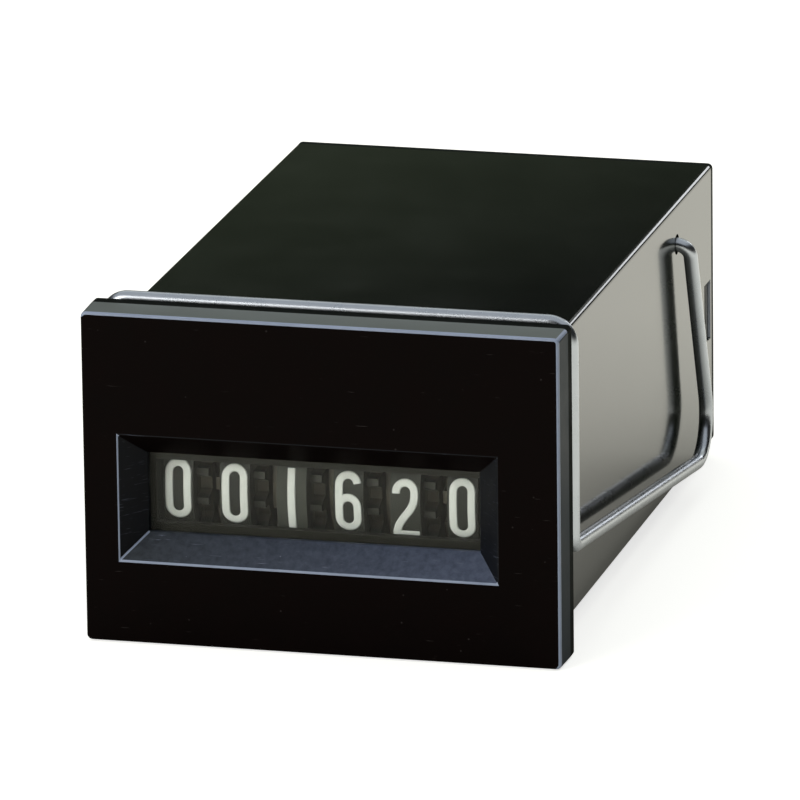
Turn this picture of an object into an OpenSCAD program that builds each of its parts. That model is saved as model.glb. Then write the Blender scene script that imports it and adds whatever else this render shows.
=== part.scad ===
// Electromechanical panel counter. Six number wheels turn behind a recessed window in a
// flat bezel. A box housing behind the panel holds the wheel train and its electromagnet,
// and a bent spring wire hooked into the housing's sides pulls the bezel on to the panel.
// X runs to the right, Y to the rear and Z up. The origin is the middle of the plane
// where the panel bears on the gasket.

/* [Front] */
// Overhang of the bezel's front face past each side of the housing
bezel_rim = 1.45; // [1.3:0.05:3]
// Depth of the bezel
bezel_d = 2.7; // [2.5:0.1:4]
// Flare of each side of the bezel towards its back
bezel_flare = 0.05; // [0.05:0.05:0.4]
// Radius of the bezel's front edges
front_edge_r = 0.2; // [0.1:0.05:0.6]
// Radius of the bezel's four corners
corner_r = 0.4; // [0.3:0.1:1]
// Thickness of the panel gasket
gasket_t = 1.1; // [0.5:0.1:1.4]

/* [Window] */
// Cover of the recess over the outer ends of the wheel row
sight_trim = 0.4; // [0.2:0.05:0.6]
// Margin of the recess over and under the numerals' slot
sight_margin = 0.6; // [0.4:0.05:0.8]
// Run of each sloping side of the recess
recess_slope = 1.8; // [1.4:0.1:2]
// Depth of the recess
recess_d = 2.0; // [1.6:0.1:2.2]
// Sideways place of the recess
recess_x = -1.05; // [-1.2:0.05:-0.8]
// Thickness of the lip in front of the clear window
lip_t = 0.3; // [0.2:0.05:0.4]
// Thickness of the clear window
lens_t = 1.0; // [0.8:0.1:1.2]
// Width of the window's hidden edge on each side
lens_lap = 1.0; // [0.7:0.1:1.2]

/* [Housing] */
// Room between the chassis and the housing's side
side_room = 0.975; // [0.8:0.025:1.5]
// Room under the number wheels
floor_room = 0.3; // [0.3:0.05:0.6]
// Room over the movement
top_room = 1.2; // [1.1:0.05:1.6]
// Length of the housing behind the panel
body_l = 53.5; // [50:0.5:64]
// Height of the middle of the housing
body_z = -0.2; // [-0.3:0.05:-0.1]
// Wall of the housing
wall = 1.2; // [1:0.05:1.25]
// Radius of the housing's long edges
body_edge_r = 0.4; // [0.2:0.1:0.8]
// Thickness of the rear cover
rear_t = 1.5; // [1.2:0.1:2]
// Length of the snap windows near the rear edge
snap_l = 2.0; // [1.6:0.1:2.4]
// Height of the snap windows
snap_h = 4.6; // [4:0.1:6]

/* [Wire clip] */
// Diameter of the spring wire
wire_d = 1.1; // [0.9:0.05:1.2]
// Gap between the wire and the housing's sides
clip_gap = 0.44; // [0.4:0.01:0.6]
// Sideways play taken up by the clip
clip_shift = 0.35; // [0.2:0.05:0.4]
// Height of the clip's top bar over the housing
clip_rise = 1.69; // [1.4:0.05:2]
// Height of the lower end of the uprights over the housing's floor
clip_foot = 7.0; // [6:0.1:8]
// Distance of the hook holes from the rear edge
hook_back = 12.7; // [11:0.1:14]
// Distance of the hook holes from the top of the housing
hook_drop = 3.2; // [2.8:0.1:4]
// Distance of the clip's lowest bend from the rear edge
bend_back = 7.0; // [6:0.1:8]
// Height of the clip's lowest bend over the housing's floor
bend_foot = 0.95; // [0.9:0.05:1.5]

/* [Number wheels] */
// Radius of the numbered rims
wheel_r = 8.2; // [7.9:0.05:8.25]
// Distance between neighbouring wheels
wheel_pitch = 4.35; // [4.3:0.01:4.4]
// Width of the numbered rims
band_w = 2.3; // [2.1:0.05:2.4]
// Thickness of the rims
rim_t = 0.8; // [0.6:0.1:1]
// Gap between the clear window and the rims
drum_gap = 0.6; // [0.5:0.05:0.8]
// Drop of the wheel shaft below the middle of the recess
axis_drop = 0.2; // [0:0.05:0.25]
// Diameter of the wheel shaft
shaft_d = 1.6; // [1.2:0.1:2]
// Height of the numerals' slot in the mask bars
slot_h = 4.9; // [4.7:0.1:5.1]

/* [Transfer gears] */
// Tooth size: pitch diameter over the number of teeth
gear_module = 0.675; // [0.65:0.005:0.68]
// Width of the toothed ring on a wheel
gear_w = 0.9; // [0.8:0.05:0.95]
// Width of the carry ring on a wheel
carry_w = 0.85; // [0.7:0.05:0.9]
// Diameter of the pinion shaft
pinion_shaft_d = 1.0; // [0.8:0.1:1.2]
// Direction of the pinion shaft from the wheel shaft, in degrees above the rear
pinion_angle = 45; // [45:18:63]

/* [Drive] */
// Tip radius of the star wheel
star_r = 4.6; // [4.2:0.1:4.8]
// Width of the star wheel
star_w = 1.2; // [1:0.1:1.4]
// Thickness of the pallet fork
fork_t = 0.8; // [0.6:0.1:0.9]
// Stroke of the armature in degrees
stroke = 4; // [3:0.5:4.5]
// Air gap left at the core once the armature is pulled in
residual_gap = 0.15; // [0.1:0.05:0.3]
// Thickness of the armature
armature_t = 1.2; // [1:0.1:1.5]
// Radius of the coil's flanges
coil_r = 7.4; // [6.8:0.1:7.6]
// Radius of the iron core
core_r = 3.0; // [2.5:0.1:3.2]
// Thickness of the iron yoke
yoke_t = 1.5; // [1.2:0.1:1.6]
// Half the width of the yoke
yoke_half = 7.0; // [6:0.1:7.4]

/* [Hidden] */
$fn = 64;
WHEELS = 6;
WHEEL_TEETH = 20;
PINION_TEETH = 8;
STAR_TEETH = 10;
DIGIT_STEP = 36;
SHOWN = [0, 0, 1, 6, 2, 0];
play = 0.1;
running = 0.04;
seat_gap = 0.02;
reach = 1;

// Levels along Y
front_y = -gasket_t - bezel_d;
bezel_back = -gasket_t;
recess_floor = front_y + recess_d;
lens_front = recess_floor + lip_t;
lens_back = lens_front + lens_t;
drum_front = lens_back + drum_gap;
axis_y = drum_front + wheel_r;
rear_front = body_l - rear_t;

// Recess and the window pane behind it
sight_w = WHEELS * wheel_pitch - 2 * sight_trim;
sight_h = slot_h + 2 * sight_margin;
recess_w = sight_w + 2 * recess_slope;
recess_h = sight_h + 2 * recess_slope;
pane_w = sight_w + 2 * lens_lap;
pane_h = sight_h + 2 * lens_lap;

// Gear train
gear_pitch_r = gear_module * WHEEL_TEETH / 2;
pinion_pitch_r = gear_module * PINION_TEETH / 2;
gear_dist = gear_pitch_r + pinion_pitch_r;
addendum = 0.7 * gear_module;
tooth_clear = 0.2;
gear_tip_r = gear_pitch_r + addendum;
pinion_tip_r = pinion_pitch_r + addendum;
gear_root_r = gear_dist - pinion_tip_r - tooth_clear;
pinion_root_r = gear_dist - gear_tip_r - tooth_clear;
tooth_root_w = 1.6 * gear_module;
tooth_tip_w = 0.8 * gear_module;
ring_t = 0.9;
carry_r = gear_dist - pinion_tip_r - tooth_clear;
notch_r = 0.8;
notch_half = 12;
star_tooth = 1.4;
star_root_w = 1.5;
star_tip_w = 0.5;
hub_wall = 1.2;
hub_r = shaft_d / 2 + hub_wall;
web_t = 0.8;
pinion_gap = 0.1;
pinion_rise = gear_dist * sin(pinion_angle);
pinion_y = axis_y + gear_dist * cos(pinion_angle);

// Chassis
cheek_t = 1.1;
cheek_gap = 0.35;
cheek_left = wheel_x(0) - band_w / 2 - cheek_gap;
cheek_right = wheel_x(WHEELS - 1) + band_w / 2 + star_w + cheek_gap;
chassis_left = cheek_left - cheek_t;
chassis_right = cheek_right + cheek_t;
bed_t = 2;
coil_gap = 0.4;

// Hollow of the housing, sized by the wheel train or the magnet, whichever is higher
train_h = floor_room + wheel_r + pinion_rise + pinion_tip_r;
magnet_h = play + bed_t + yoke_t + coil_gap + 2 * coil_r;
inner_w = 2 * (max(-chassis_left, chassis_right) + side_room);
inner_h = max(train_h, magnet_h) + top_room;
inner_top = body_z + inner_h / 2;
inner_floor = body_z - inner_h / 2;
body_w = inner_w + 2 * wall;
body_h = inner_h + 2 * wall;
body_top = inner_top + wall;
body_floor = inner_floor - wall;
front_w = body_w + 2 * bezel_rim;
front_h = body_h + 2 * bezel_rim;
axis_z = inner_floor + floor_room + wheel_r;
recess_z = axis_z + axis_drop;
pinion_z = axis_z + pinion_rise;

// Rest of the chassis
chassis_front = lens_back + play / 2;
chassis_floor = inner_floor + play;
top_clear = 1;
chassis_top = inner_top - top_clear;
chassis_end = rear_front - play;
bar_t = 0.65;
bar_h = 1.35;
wall_t = 1.2;
wall_clear = 1;
wall_y = pinion_y + pinion_tip_r + wall_clear;
wall_back = wall_y + wall_t;
bed_top = chassis_floor + bed_t;
rail_h = 6.1;
rib_h = 1;

// Magnet
lever_t = 1.3;
lever_gap = 1.6;
lever_y = wall_back + lever_gap;
armature_y = lever_y + lever_t;
pin_y = armature_y + armature_t / 2;
pin_r = 0.5;
knuckle_r = 1.1;
knuckle_gap = 0.3;
pin_z = bed_top + yoke_t + knuckle_r + knuckle_gap;
coil_z = bed_top + yoke_t + coil_r + coil_gap;
air_gap = residual_gap + (coil_z + core_r - pin_z) * tan(stroke);
pole_y = armature_y + armature_t + air_gap;
terminal_room = 3.1;
yoke_back = chassis_end - terminal_room;
yoke_ahead = 0.5;
yoke_front = armature_y - yoke_ahead;
yoke_drop = 0.6;
ear_t = 1.0;
ear_l = 3;
side_gap = 0.2;
flange_t = 0.9;
pole_out = 0.8;
bobbin_front = pole_y + pole_out;
bobbin_back = yoke_back - yoke_t - play;
coil_x = (cheek_left + cheek_right) / 2;
tube_t = 0.8;
flange_h = 0.5;
winding_r = coil_r - flange_h;
rivet_step = 1;
rivet_r = core_r - rivet_step;
rivet_out = 0.3;
armature_in = 1;
armature_half = yoke_half - armature_in;
armature_over = 3;
armature_top = coil_z + core_r + armature_over;
knuckle_l = 4.6;
screw_r = 1.0;
screw_head_r = 1.9;
screw_head_h = 1.2;
screw_in = 2.1;
screw_off = yoke_half - screw_in;
screw_y = (bobbin_front + bobbin_back) / 2;

// Return spring
spring_t = 0.2;
spring_w = 4;
spring_slack = 0.3;
spring_leg = 3;
spring_foot = 6;
spring_bend = 0.8;

// Fork round the star wheel
fork_x = wheel_x(WHEELS - 1) + band_w / 2 + (star_w - fork_t) / 2 + play;
fork_gap = 1.6;
fork_in = star_r + fork_gap;
fork_w = 1.2;
fork_out = fork_in + fork_w;
fork_side = 0.3;
fork_span = 75;
fork_bar = 2.6;
arm_low = axis_z - fork_bar / 2;
pallet_at = 60;
pallet_w = 1.0;
pallet_gap = 0.2;
pallet_lift = pallet_gap + (pin_y - axis_y - star_r * cos(pallet_at)) * tan(stroke);
stake_r = 0.8;
stake_off = 3;
stake_z = (armature_top + pin_z) / 2;

// Terminals
blade_w = 2.8;
blade_t = 0.5;
blade_out = 6;
blade_in = 2.5;
blade_off = 5;
lead_d = 0.6;
lead_lap = 0.5;

// Snap lugs and tongues
tongue_t = 0.8;
tongue_l = 5.8;
tongue_h = 10;
catch_r = 0.35;
catch_at = 4.3;
snap_back = 1.2;
snap_drop = 0.3;
snap_z = body_z - snap_drop;
snap_tongue = 3.5;
lug_ramp = 0.6;
lug_fall = 0.1;

// Clip route
bend_r = 1.7;
hook_r = 1.1;
foot_r = 0.9;
heel_r = 3.4;
clip_y = wire_d / 2 + seat_gap;
clip_span = body_w + wire_d + 2 * clip_gap;
hook_y = body_l - hook_back;
hook_z = body_top - hook_drop;
hook_in = 0.7;
hook_clear = 0.5;
clip_top = body_top + clip_rise;
foot_z = body_floor + clip_foot;
heel_y = body_l - bend_back;
heel_z = body_floor + bend_foot;

// Middle of the numbered rim of a wheel, counted from the left
function wheel_x(i) = recess_x + (i - (WHEELS - 1) / 2) * wheel_pitch;

function unit(v) = v / norm(v);
function heading(p, i) = unit(p[i + 1] - p[i]);
function turn_at(p, i) = acos(heading(p, i - 1) * heading(p, i));
function setback(p, r, i) = (i == 0 || i == len(p) - 1) ? 0 : r[i] * tan(turn_at(p, i) / 2);

// Points of a toothed disc with straight flanks, tooth middles at start + k * 360 / n
function toothed(n, root_r, tip_r, root_w, tip_w, start) = [
    for (k = [0:n - 1])
        for (c = [[root_r, -root_w], [tip_r, -tip_w], [tip_r, tip_w], [root_r, root_w]])
            let (a = start + k * 360 / n + asin(c[1] / 2 / c[0]))
                [c[0] * cos(a), c[0] * sin(a)]
];

// Section of a drafted block: wide at its back, with rounded edges at its front
function drafted(back_w, face_w, back_y, face_y, r) = let (steps = 6) concat(
    [[-back_w / 2, back_y], [back_w / 2, back_y]],
    [for (k = [0:steps]) let (a = -90 * k / steps)
        [face_w / 2 - r + r * cos(a), face_y + r + r * sin(a)]],
    [for (k = [0:steps]) let (a = -90 - 90 * k / steps)
        [-face_w / 2 + r + r * cos(a), face_y + r + r * sin(a)]]
);

// Section of the sloping recess, carried on past the front face
function sloping(mouth_w) = [
    [-mouth_w / 2 - recess_slope, front_y - recess_d],
    [mouth_w / 2 + recess_slope, front_y - recess_d],
    [mouth_w / 2 - recess_slope, recess_floor],
    [-mouth_w / 2 + recess_slope, recess_floor]
];

// Turns a drawing of X and Z into a slab from y0 to y1
module slab_y(y0, y1) {
    translate([0, y1, 0]) rotate([90, 0, 0]) linear_extrude(y1 - y0) children();
}

// Turns a drawing of Y and Z into a slab from x0 to x1
module slab_x(x0, x1) {
    translate([x0, 0, 0]) rotate([90, 0, 90]) linear_extrude(x1 - x0) children();
}

module block(low, high) {
    translate(low) cube(high - low);
}

module rounded_rect(w, h, r) {
    square([w - 2 * r, h], center = true);
    square([w, h - 2 * r], center = true);
    for (sx = [-1, 1], sz = [-1, 1]) translate([sx * (w / 2 - r), sz * (h / 2 - r)]) circle(r);
}

// Round wire along straight runs joined by bends of the given radii
module bent_wire(p, r, d) {
    for (i = [0:len(p) - 2]) {
        v = heading(p, i);
        from = p[i] + v * setback(p, r, i);
        to = p[i + 1] - v * setback(p, r, i + 1);
        translate(from) rotate([0, acos(v[2]), atan2(v[1], v[0])]) cylinder(d = d, h = norm(to - from));
    }
    for (i = [1:len(p) - 2]) {
        v = heading(p, i - 1);
        inward = unit(heading(p, i) - v);
        middle = p[i] + inward * r[i] / cos(turn_at(p, i) / 2);
        u = unit(p[i] - v * setback(p, r, i) - middle);
        n = cross(u, v);
        multmatrix([
            [u[0], v[0], n[0], middle[0]],
            [u[1], v[1], n[1], middle[1]],
            [u[2], v[2], n[2], middle[2]],
            [0, 0, 0, 1]
        ]) rotate_extrude(angle = turn_at(p, i)) translate([r[i], 0]) circle(d = d);
    }
}

// Plate with a sloping recess, a pocket for the pane behind it and two snap tongues
module front_bezel() color([0.06, 0.05, 0.05]) {
    back_w = front_w + 2 * bezel_flare;
    back_h = front_h + 2 * bezel_flare;
    difference() {
        intersection() {
            translate([0, 0, -back_h / 2]) linear_extrude(back_h)
                polygon(drafted(back_w, front_w, bezel_back, front_y, front_edge_r));
            rotate([0, 90, 0]) translate([0, 0, -back_w / 2]) linear_extrude(back_w)
                polygon(drafted(back_h, front_h, bezel_back, front_y, front_edge_r));
            slab_y(front_y - reach, bezel_back + reach) rounded_rect(back_w, back_h, corner_r);
        }
        translate([recess_x, 0, recess_z]) {
            intersection() {
                translate([0, 0, -front_h / 2]) linear_extrude(front_h) polygon(sloping(recess_w));
                rotate([0, 90, 0]) translate([0, 0, -front_w / 2]) linear_extrude(front_w)
                    polygon(sloping(recess_h));
            }
            slab_y(recess_floor - reach / 2, bezel_back + reach)
                square([sight_w, sight_h], center = true);
            slab_y(lens_front, bezel_back + reach) square([pane_w, pane_h], center = true);
        }
    }
    for (s = [-1, 1]) {
        outer = s * (inner_w / 2 - play / 2);
        block([min(outer, outer - s * tongue_t), bezel_back, body_z - tongue_h / 2],
              [max(outer, outer - s * tongue_t), bezel_back + tongue_l, body_z + tongue_h / 2]);
        intersection() {
            translate([outer, bezel_back + catch_at, body_z - tongue_h / 2])
                cylinder(r = catch_r, h = tongue_h);
            block([min(outer - s * tongue_t, outer + s * catch_r), bezel_back, body_z - tongue_h / 2],
                  [max(outer - s * tongue_t, outer + s * catch_r), body_l, body_z + tongue_h / 2]);
        }
    }
}

module window_pane() color([0.8, 0.85, 0.82, 0.4]) {
    translate([recess_x, 0, recess_z]) slab_y(lens_front, lens_back)
        square([pane_w - 2 * play, pane_h - 2 * play], center = true);
}

module panel_gasket() color([0.03, 0.03, 0.03]) {
    slab_y(bezel_back, 0) difference() {
        rounded_rect(front_w + 2 * bezel_flare, front_h + 2 * bezel_flare, corner_r);
        translate([0, body_z]) square([body_w + 2 * play, body_h + 2 * play], center = true);
    }
}

// Open box with hook holes and snap windows in its sides and guide ribs inside
module housing() color([0.05, 0.06, 0.05]) {
    difference() {
        slab_y(bezel_back, body_l) translate([0, body_z]) rounded_rect(body_w, body_h, body_edge_r);
        slab_y(bezel_back - reach, body_l + reach) translate([0, body_z])
            square([inner_w, inner_top - inner_floor], center = true);
        translate([-body_w, hook_y, hook_z]) rotate([0, 90, 0])
            cylinder(d = wire_d + hook_clear, h = 2 * body_w);
        block([-body_w, body_l - snap_back - snap_l, snap_z - snap_h / 2],
              [body_w, body_l - snap_back, snap_z + snap_h / 2]);
        for (s = [-1, 1])
            translate([s * (inner_w / 2 - play / 2), bezel_back + catch_at, body_z - tongue_h / 2 - play])
                cylinder(r = catch_r + play, h = tongue_h + 2 * play);
    }
    for (side = [[-inner_w / 2, chassis_left - play], [chassis_right + play, inner_w / 2]])
        block([side[0], bezel_back + tongue_l, bed_top],
              [side[1], rear_front - snap_tongue - reach, bed_top + rib_h]);
}

// One length of spring wire: hook, arm, upright, top bar, and the same again
module wire_clip() color([0.75, 0.75, 0.72]) {
    $fn = 48;
    hooked = inner_w / 2 - hook_in;
    half = clip_span / 2;
    right = [
        [hooked, hook_y, hook_z], [half + clip_shift, hook_y, hook_z],
        [half + clip_shift, heel_y, heel_z], [half + clip_shift, clip_y, foot_z],
        [half + clip_shift, clip_y, clip_top]
    ];
    left = [
        [clip_shift - half, clip_y, clip_top], [clip_shift - half, clip_y, foot_z],
        [clip_shift - half, heel_y, heel_z], [clip_shift - half, hook_y, hook_z],
        [-hooked, hook_y, hook_z]
    ];
    bent_wire(concat(right, left),
              [0, hook_r, heel_r, foot_r, bend_r, bend_r, foot_r, heel_r, hook_r, 0], wire_d);
}

// Plate with two snap tongues, each with a sloping lug, and slots for the terminals
module rear_cover() color([0.05, 0.05, 0.05]) {
    lug_x = inner_w / 2 - play;
    lug_front = body_l - snap_back - snap_l + play;
    lug_back = body_l - snap_back - play;
    difference() {
        slab_y(rear_front, body_l) translate([0, body_z])
            square([inner_w - 2 * play, inner_top - inner_floor - 2 * play], center = true);
        for (s = [-1, 1])
            block([coil_x + s * blade_off - blade_t / 2, rear_front - reach, coil_z - blade_w / 2],
                  [coil_x + s * blade_off + blade_t / 2, body_l + reach, coil_z + blade_w / 2]);
    }
    for (s = [0, 1]) mirror([s, 0, 0]) {
        block([lug_x - tongue_t, rear_front - snap_tongue, snap_z - snap_h / 2 + play],
              [lug_x, rear_front, snap_z + snap_h / 2 - play]);
        translate([0, 0, snap_z - snap_h / 2 + play]) linear_extrude(snap_h - 2 * play) polygon([
            [lug_x - tongue_t / 2, lug_front], [lug_x, lug_front],
            [body_w / 2 - play, lug_front + lug_ramp], [body_w / 2 - play - lug_fall, lug_back],
            [lug_x - tongue_t / 2, lug_back]
        ]);
    }
}

// Flat blade with a chamfered end
module terminal(s) color([0.8, 0.78, 0.7]) {
    tip = 0.8;
    slab_x(coil_x + s * blade_off - blade_t / 2, coil_x + s * blade_off + blade_t / 2) polygon([
        [rear_front - blade_in, coil_z - blade_w / 2],
        [body_l + blade_out - tip, coil_z - blade_w / 2],
        [body_l + blade_out, coil_z - blade_w / 2 + tip],
        [body_l + blade_out, coil_z + blade_w / 2 - tip],
        [body_l + blade_out - tip, coil_z + blade_w / 2],
        [rear_front - blade_in, coil_z + blade_w / 2]
    ]);
}

// Two cheeks, mask bars over and under the numerals, a cross wall and a bed for the magnet
module chassis() color([0.2, 0.2, 0.18]) {
    difference() {
        union() {
            for (x0 = [chassis_left, cheek_right]) {
                block([x0, chassis_front, chassis_floor], [x0 + cheek_t, wall_back, chassis_top]);
                block([x0, wall_back - reach, chassis_floor],
                      [x0 + cheek_t, chassis_end, chassis_floor + rail_h]);
            }
            for (z0 = [axis_z - slot_h / 2 - bar_h, axis_z + slot_h / 2])
                block([chassis_left, chassis_front, z0],
                      [chassis_right, chassis_front + bar_t, z0 + bar_h]);
            block([chassis_left, wall_y, chassis_floor], [chassis_right, wall_back, chassis_top]);
            block([chassis_left, wall_back - reach, chassis_floor],
                  [chassis_right, chassis_end, bed_top]);
        }
        translate([chassis_left - reach, axis_y, axis_z]) rotate([0, 90, 0])
            cylinder(d = shaft_d + 2 * running, h = chassis_right - chassis_left + 2 * reach);
        translate([chassis_left - reach, pinion_y, pinion_z]) rotate([0, 90, 0])
            cylinder(d = pinion_shaft_d + 2 * running, h = chassis_right - chassis_left + 2 * reach);
        block([fork_x - fork_side, wall_y - reach, arm_low - fork_side],
              [cheek_right, wall_back + reach, chassis_top + reach]);
        for (s = [-1, 1])
            translate([coil_x + s * screw_off, screw_y, chassis_floor - reach])
                cylinder(r = screw_r, h = bed_t + 2 * reach);
    }
}

module wheel_shaft() color([0.7, 0.7, 0.7]) {
    translate([chassis_left, axis_y, axis_z]) rotate([0, 90, 0])
        cylinder(d = shaft_d, h = chassis_right - chassis_left);
}

module pinion_shaft() color([0.7, 0.7, 0.7]) {
    translate([chassis_left, pinion_y, pinion_z]) rotate([0, 90, 0])
        cylinder(d = pinion_shaft_d, h = chassis_right - chassis_left);
}

// Numbered rim on a web and hub. The carry ring on the left has a notch between two teeth,
// the toothed ring on the right takes the transfer pinion, and the units wheel has a star.
module number_wheel(i) color([0.2, 0.2, 0.17]) {
    half = band_w / 2;
    last = i == WHEELS - 1;
    left_end = i == 0 ? -half : -half - carry_w;
    right_end = last ? half + star_w : half + gear_w;
    translate([wheel_x(i), axis_y, axis_z]) rotate([SHOWN[i] * DIGIT_STEP, 0, 0]) difference() {
        union() {
            slab_x(-half, half) difference() {
                circle(wheel_r);
                circle(wheel_r - rim_t);
            }
            slab_x(half - web_t, half) circle(wheel_r - rim_t / 2);
            slab_x(left_end, right_end) circle(hub_r);
            if (i > 0) slab_x(left_end, half - web_t / 2) difference() {
                circle(carry_r);
                circle(carry_r - ring_t);
            }
            if (!last) slab_x(half - web_t / 2, right_end) difference() {
                polygon(toothed(WHEEL_TEETH, gear_root_r, gear_tip_r, tooth_root_w, tooth_tip_w,
                                180 / WHEEL_TEETH));
                circle(gear_root_r - ring_t);
            }
            if (last) slab_x(half - web_t / 2, right_end)
                polygon(toothed(STAR_TEETH, star_r - star_tooth, star_r, star_root_w, star_tip_w,
                                180 / STAR_TEETH));
        }
        slab_x(left_end - reach, right_end + reach) circle(shaft_d / 2 + running);
        if (i > 0) for (s = [-1, 1])
            translate([left_end - reach, 0, 0]) rotate([180 + s * notch_half, 0, 0])
                translate([0, carry_r, 0]) rotate([0, 90, 0])
                    cylinder(r = notch_r, h = carry_w + reach);
    }
}

// Eight teeth at the toothed ring of the higher wheel, every second one at the carry ring
module transfer_pinion(i) color([0.85, 0.83, 0.75]) {
    gear_from = band_w / 2 + pinion_gap;
    gear_to = band_w / 2 + gear_w + pinion_gap;
    lock_to = wheel_pitch - band_w / 2 - pinion_gap;
    facing = pinion_angle + 180 + 180 / PINION_TEETH;
    translate([wheel_x(i), pinion_y, pinion_z]) difference() {
        union() {
            slab_x(gear_from, gear_to) polygon(toothed(PINION_TEETH, pinion_root_r, pinion_tip_r,
                tooth_root_w, tooth_tip_w, facing));
            slab_x(gear_to, lock_to) polygon(toothed(PINION_TEETH / 2, pinion_root_r, pinion_tip_r,
                tooth_root_w, tooth_tip_w, facing));
        }
        slab_x(gear_from - reach, lock_to + reach) circle(pinion_shaft_d / 2 + running);
    }
}

// Bent iron strip: an arm on the bed, an upright behind the coil and two ears for the pin
module yoke() color([0.55, 0.56, 0.58]) {
    difference() {
        union() {
            block([coil_x - yoke_half - ear_t, yoke_front, bed_top],
                  [coil_x + yoke_half + ear_t, yoke_front + ear_l, bed_top + yoke_t]);
            block([coil_x - yoke_half, yoke_front, bed_top],
                  [coil_x + yoke_half, yoke_back, bed_top + yoke_t]);
            block([coil_x - yoke_half, yoke_back - yoke_t, bed_top],
                  [coil_x + yoke_half, yoke_back, coil_z + coil_r - yoke_drop]);
            for (x0 = [coil_x - yoke_half - ear_t, coil_x + yoke_half])
                slab_x(x0, x0 + ear_t) {
                    translate([pin_y, pin_z]) circle(knuckle_r + side_gap);
                    translate([yoke_front, bed_top]) square([ear_l, yoke_t]);
                    translate([pin_y - knuckle_r, bed_top]) square([2 * knuckle_r, pin_z - bed_top]);
                }
        }
        slab_x(coil_x - yoke_half - ear_t - reach, coil_x + yoke_half + ear_t + reach)
            translate([pin_y, pin_z]) circle(pin_r + running / 2);
        slab_y(yoke_back - yoke_t - reach, yoke_back + reach)
            translate([coil_x, coil_z]) circle(rivet_r + running / 2);
        for (s = [-1, 1])
            translate([coil_x + s * screw_off, screw_y, bed_top - reach])
                cylinder(r = screw_r + play, h = yoke_t + 2 * reach);
    }
}

// Iron core with a riveted end in the yoke
module core() color([0.6, 0.6, 0.62]) {
    slab_y(pole_y, yoke_back - yoke_t) translate([coil_x, coil_z]) circle(core_r);
    slab_y(yoke_back - yoke_t, yoke_back + rivet_out) translate([coil_x, coil_z]) circle(rivet_r);
}

module bobbin() color([0.85, 0.82, 0.7]) {
    slab_y(bobbin_front, bobbin_back) translate([coil_x, coil_z]) difference() {
        circle(core_r + running + tube_t);
        circle(core_r + running);
    }
    for (y0 = [bobbin_front, bobbin_back - flange_t])
        slab_y(y0, y0 + flange_t) translate([coil_x, coil_z]) difference() {
            circle(coil_r);
            circle(core_r + running);
        }
}

module coil_winding() color([0.6, 0.3, 0.12]) {
    slab_y(bobbin_front + flange_t, bobbin_back - flange_t) translate([coil_x, coil_z]) difference() {
        circle(winding_r);
        circle(core_r + running + tube_t);
    }
}

// Two slotted screws through the yoke's arm into the bed
module yoke_screws() color([0.7, 0.7, 0.68]) {
    slot_w = 0.5;
    for (s = [-1, 1]) translate([coil_x + s * screw_off, screw_y, bed_top + yoke_t]) {
        translate([0, 0, -yoke_t - bed_t]) cylinder(r = screw_r, h = yoke_t + bed_t);
        difference() {
            cylinder(r = screw_head_r, h = screw_head_h);
            translate([0, 0, screw_head_h]) cube([slot_w, 4 * screw_head_r, screw_head_h], center = true);
        }
    }
}

// Two leads from the coil's rear flange to the inner ends of the terminals
module coil_leads() color([0.7, 0.1, 0.08]) {
    side = max(coil_r, yoke_half) + play + lead_d / 2;
    behind = rear_front - blade_in + lead_d / 2 + lead_lap;
    for (s = [-1, 1]) bent_wire([
        [coil_x + s * side, bobbin_back - flange_t, coil_z],
        [coil_x + s * side, behind, coil_z],
        [coil_x + s * (blade_off + blade_t / 2), behind, coil_z]
    ], [0, 2 * lead_d, 0], lead_d);
}

module armature_pin() color([0.7, 0.7, 0.72]) {
    slab_x(coil_x - yoke_half - ear_t, coil_x + yoke_half + ear_t)
        translate([pin_y, pin_z]) circle(pin_r);
}

// Bent leaf: its foot lies on the yoke's arm under the coil, its blade stands behind the armature
module return_spring() color([0.75, 0.75, 0.75]) {
    leaf_z = bed_top + yoke_t + seat_gap;
    leaf_y = pin_y + armature_t / 2 + spring_slack;
    slab_x(coil_x - spring_w / 2, coil_x + spring_w / 2) {
        translate([leaf_y, leaf_z + spring_bend])
            square([spring_t, pin_z + spring_leg - leaf_z - spring_bend]);
        translate([leaf_y + spring_bend, leaf_z]) square([spring_foot, spring_t]);
        translate([leaf_y + spring_bend, leaf_z + spring_bend]) intersection() {
            difference() {
                circle(spring_bend);
                circle(spring_bend - spring_t);
            }
            translate([-spring_bend, -spring_bend]) square(spring_bend);
        }
    }
}

// Iron flap with two knuckles on the pin and two holes for the fork's stakes
module armature() color([0.55, 0.55, 0.58]) {
    difference() {
        union() {
            block([coil_x - armature_half, armature_y, pin_z + knuckle_r + side_gap],
                  [coil_x + armature_half, armature_y + armature_t, armature_top]);
            for (x0 = [coil_x - yoke_half + side_gap, coil_x + yoke_half - side_gap - knuckle_l])
                slab_x(x0, x0 + knuckle_l) {
                    translate([pin_y, pin_z]) circle(knuckle_r);
                    translate([armature_y, pin_z]) square([armature_t, knuckle_r + 2 * side_gap]);
                }
        }
        slab_x(coil_x - yoke_half - reach, coil_x + yoke_half + reach)
            translate([pin_y, pin_z]) circle(pin_r + running);
        for (s = [-1, 1])
            slab_y(armature_y - reach, armature_y + armature_t + reach)
                translate([coil_x + s * stake_off, stake_z]) circle(stake_r);
    }
}

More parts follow.
